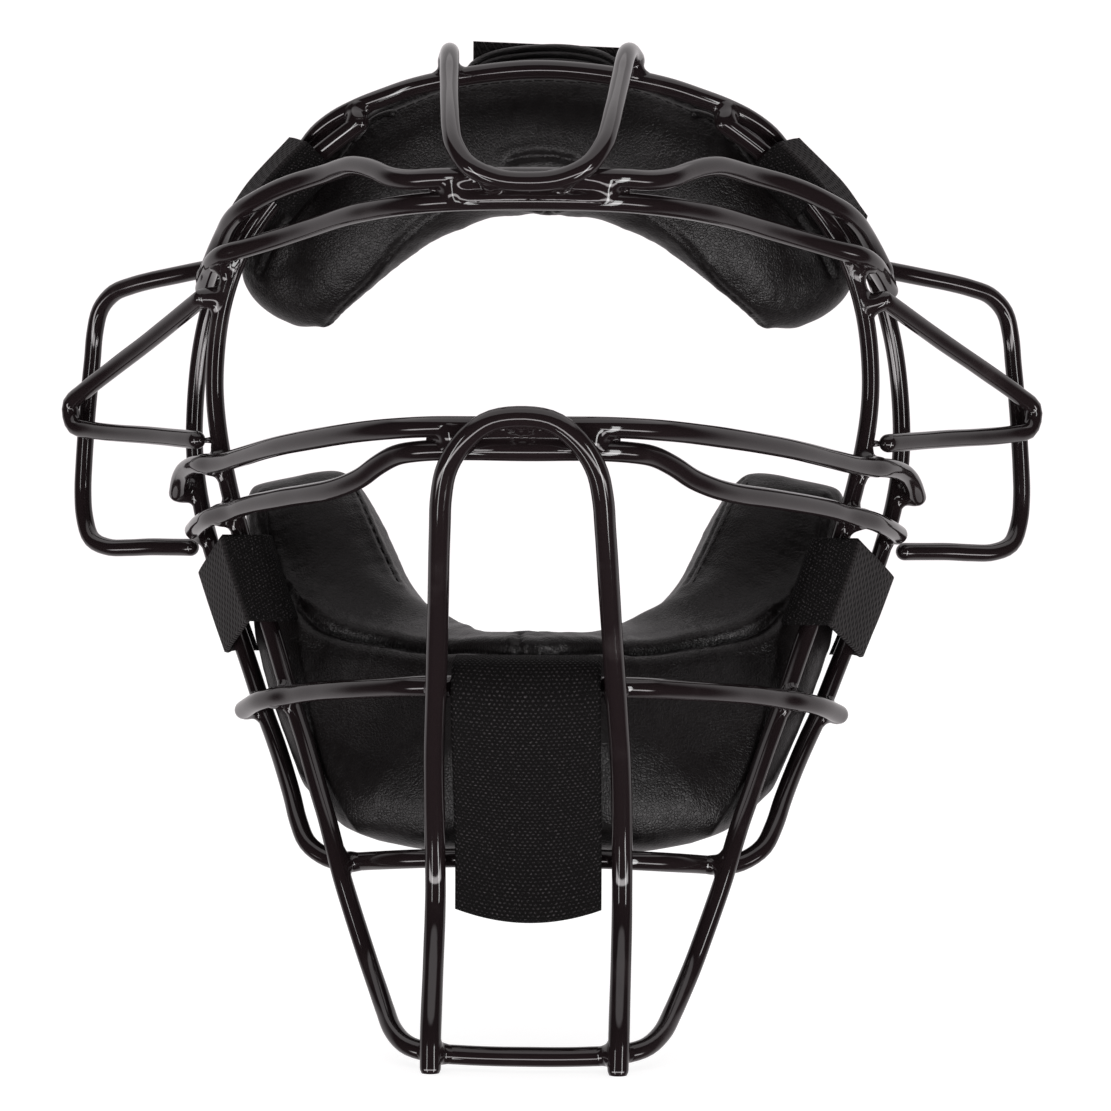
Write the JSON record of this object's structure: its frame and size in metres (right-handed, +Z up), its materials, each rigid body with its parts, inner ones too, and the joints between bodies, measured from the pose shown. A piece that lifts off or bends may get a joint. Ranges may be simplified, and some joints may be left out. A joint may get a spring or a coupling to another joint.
{
  "type": "catcher's and umpire's face mask",
  "caption": "Face mask for a catcher or plate umpire: a cage of coated steel rods with an extended throat guard, ear guards, and padded forehead and cheek cushions on hook-and-loop straps.",
  "frame": {"origin": "on the plane of symmetry, at mid height, level in depth with the forehead arc of the perimeter ring, in the space that the wearer's head fills", "axes": "+Z up as worn, -Y the way the wearer looks, so the front of the cage is at -Y, and +X to the wearer's left"},
  "size_m": [0.2844, 0.1788, 0.2724],
  "materials": {
    "rod_coat": "glossy black vinyl dip over steel wire",
    "leather": "soft black synthetic leather with a fine grain, semi-matt",
    "lining": "dark grey synthetic leather, matt",
    "foam": "closed-cell foam, hidden",
    "webbing": "black woven nylon webbing",
    "loop_tape": "black knitted loop tape with a regular dotted texture",
    "hook_tape": "black moulded hook tape, matt"
  },
  "bodies": {
    "frame": {"perimeter_ring": "rod_coat", "throat_wire": "rod_coat", "upper_brow_bar": "rod_coat", "lower_brow_bar": "rod_coat", "crown_loop": "rod_coat", "upper_cheek_bar": "rod_coat", "lower_cheek_bar": "rod_coat", "nose_loop": "rod_coat", "chin_bar": "rod_coat", "ear_guard_left": "rod_coat", "ear_guard_right": "rod_coat", "ear_brace_left": "rod_coat", "ear_brace_right": "rod_coat", "forehead_pad_face": "leather", "forehead_pad_lining": "lining", "forehead_pad_foam": "foam", "cheek_pad_face": "leather", "cheek_pad_lining": "lining", "cheek_pad_foam": "foam", "cheek_strap_left": "webbing", "cheek_strap_right": "webbing", "cheek_leaf_left": "loop_tape", "cheek_leaf_right": "loop_tape", "temple_strap_left": "webbing", "temple_strap_right": "webbing", "temple_leaf_left": "loop_tape", "temple_leaf_right": "loop_tape", "chin_tongue": "loop_tape", "top_tab": "webbing"},
    "chin_flap": {"chin_flap": "loop_tape", "chin_hooks": "hook_tape"},
    "cheek_flap_left": {"cheek_flap_left": "webbing", "cheek_hooks_left": "hook_tape"},
    "temple_flap_left": {"temple_flap_left": "webbing", "temple_hooks_left": "hook_tape"},
    "cheek_flap_right": {"cheek_flap_right": "webbing", "cheek_hooks_right": "hook_tape"},
    "temple_flap_right": {"temple_flap_right": "webbing", "temple_hooks_right": "hook_tape"}
  },
  "joints": [
    {"name": "chin_flap_hinge", "type": "hinge", "parent": "frame", "child": "chin_flap", "pos_m": [0, -0.047, -0.03], "axis": [-1, 0, 0], "range_deg": [0, 80]},
    {"name": "cheek_flap_left_hinge", "type": "hinge", "parent": "frame", "child": "cheek_flap_left", "pos_m": [0.0825, 0.0015, -0.01], "axis": [0.3255, 0.212, 0.9215], "range_deg": [0, 120]},
    {"name": "cheek_flap_right_hinge", "type": "hinge", "parent": "frame", "child": "cheek_flap_right", "pos_m": [-0.0825, 0.0015, -0.01], "axis": [0.3255, -0.212, -0.9215], "range_deg": [0, 120]},
    {"name": "temple_flap_left_hinge", "type": "hinge", "parent": "frame", "child": "temple_flap_left", "pos_m": [0.07042, 0.007, 0.10168], "axis": [-0.6995, -0.1912, 0.6886], "range_deg": [0, 35]},
    {"name": "temple_flap_right_hinge", "type": "hinge", "parent": "frame", "child": "temple_flap_right", "pos_m": [-0.07042, 0.007, 0.10168], "axis": [-0.6995, 0.1912, -0.6886], "range_deg": [0, 35]}
  ]
}
